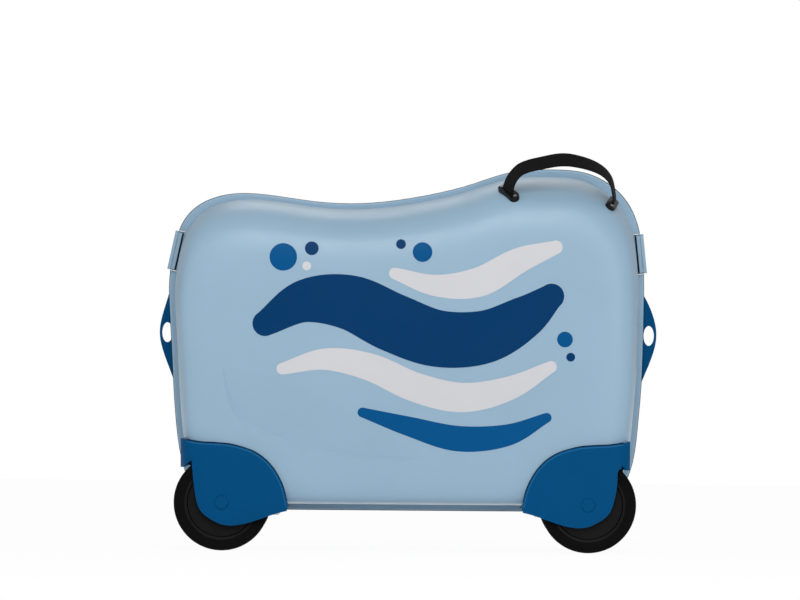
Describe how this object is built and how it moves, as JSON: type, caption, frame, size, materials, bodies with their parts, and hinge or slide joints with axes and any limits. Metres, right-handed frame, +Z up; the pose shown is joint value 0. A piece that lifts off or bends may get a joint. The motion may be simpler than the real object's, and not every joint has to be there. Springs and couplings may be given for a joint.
{
  "type": "ride-on suitcase",
  "caption": "Hard-shell children's case on fixed wheels that opens along a bottom hinge, with side latches, tow lugs, a webbing carry handle and packing straps.",
  "frame": {"origin": "centre of the overall bounding box in X and Y, on the floor under the wheels", "axes": "+X along the length towards the handle end, -Y out of the printed face seen in the picture, +Z up"},
  "size_m": [0.5108, 0.208, 0.4089],
  "materials": {
    "shell_plastic": "moulded polypropylene, soft gloss",
    "cover_plastic": "moulded, satin",
    "latch_plastic": "moulded, soft gloss",
    "fitting_plastic": "moulded, satin",
    "seal_rubber": "matt",
    "tyre_rubber": "matt",
    "hub_plastic": "moulded, satin",
    "bush_plastic": "moulded",
    "axle_steel": "zinc plated",
    "plated_steel": "zinc plated",
    "handle_webbing": "woven, ribbed",
    "anchor_plastic": "moulded, soft gloss",
    "lining_webbing": "woven"
  },
  "bodies": {
    "rear_half": {"rear_shell": "shell_plastic", "rim_seal": "seal_rubber", "rear_housing_screws": "plated_steel", "rear_axle_rings": "plated_steel", "tow_lug_left": "cover_plastic", "tow_lug_right": "cover_plastic", "tow_lug_rivets": "plated_steel", "latch_rivets_rear": "plated_steel", "hinge_leaves_rear": "plated_steel", "hinge_rivets_rear": "plated_steel", "hinge_pins": "plated_steel", "packing_strap_left": "lining_webbing", "packing_strap_right": "lining_webbing", "strap_clamps": "anchor_plastic", "buckle_socket": "anchor_plastic", "buckle_plug": "anchor_plastic", "rear_wheel_housing_left": "cover_plastic", "rear_wheel_housing_right": "cover_plastic", "rear_axle_left": "axle_steel", "rear_axle_right": "axle_steel", "latch_base_left": "fitting_plastic", "latch_base_right": "fitting_plastic", "latch_pin_left": "plated_steel", "latch_pin_right": "plated_steel"},
    "front_half": {"front_shell": "shell_plastic", "front_housing_screws": "plated_steel", "front_axle_rings": "plated_steel", "latch_rivets_front": "plated_steel", "hinge_leaves_front": "plated_steel", "hinge_rivets_front": "plated_steel", "handle_webbing": "handle_webbing", "handle_backing_plates": "plated_steel", "handle_rivets": "plated_steel", "handle_anchor_left": "anchor_plastic", "handle_anchor_right": "anchor_plastic", "latch_keeper_left": "latch_plastic", "latch_keeper_right": "latch_plastic", "front_wheel_housing_left": "cover_plastic", "front_wheel_housing_right": "cover_plastic", "front_axle_left": "axle_steel", "front_axle_right": "axle_steel"},
    "front_wheel_left": {"front_tyre_left": "tyre_rubber", "front_hub_left": "hub_plastic", "front_wheel_bush_left": "bush_plastic"},
    "front_wheel_right": {"front_tyre_right": "tyre_rubber", "front_hub_right": "hub_plastic", "front_wheel_bush_right": "bush_plastic"},
    "rear_wheel_left": {"rear_tyre_left": "tyre_rubber", "rear_hub_left": "hub_plastic", "rear_wheel_bush_left": "bush_plastic"},
    "rear_wheel_right": {"rear_tyre_right": "tyre_rubber", "rear_hub_right": "hub_plastic", "rear_wheel_bush_right": "bush_plastic"},
    "latch_left": {"latch_lever_left": "latch_plastic"},
    "latch_right": {"latch_lever_right": "latch_plastic"}
  },
  "joints": [
    {"name": "case_opening", "type": "hinge", "parent": "rear_half", "child": "front_half", "pos_m": [0, 0, 0.0385], "axis": [1, 0, 0], "range_deg": [0, 110]},
    {"name": "front_wheel_left_spin", "type": "hinge", "parent": "front_half", "child": "front_wheel_left", "pos_m": [-0.189, -0.087, 0.049], "axis": [0, 1, 0], "continuous": true},
    {"name": "front_wheel_right_spin", "type": "hinge", "parent": "front_half", "child": "front_wheel_right", "pos_m": [0.185, -0.087, 0.049], "axis": [0, 1, 0], "continuous": true},
    {"name": "rear_wheel_left_spin", "type": "hinge", "parent": "rear_half", "child": "rear_wheel_left", "pos_m": [-0.189, 0.087, 0.049], "axis": [0, 1, 0], "continuous": true},
    {"name": "rear_wheel_right_spin", "type": "hinge", "parent": "rear_half", "child": "rear_wheel_right", "pos_m": [0.185, 0.087, 0.049], "axis": [0, 1, 0], "continuous": true},
    {"name": "latch_left_swing", "type": "hinge", "parent": "rear_half", "child": "latch_left", "pos_m": [-0.23965, 0.0115, 0.30612], "axis": [-0.2105, 0, -0.9776], "range_deg": [0, 75]},
    {"name": "latch_right_swing", "type": "hinge", "parent": "rear_half", "child": "latch_right", "pos_m": [0.2387, 0.0115, 0.30619], "axis": [-0.1035, 0, 0.9946], "range_deg": [0, 75]}
  ]
}
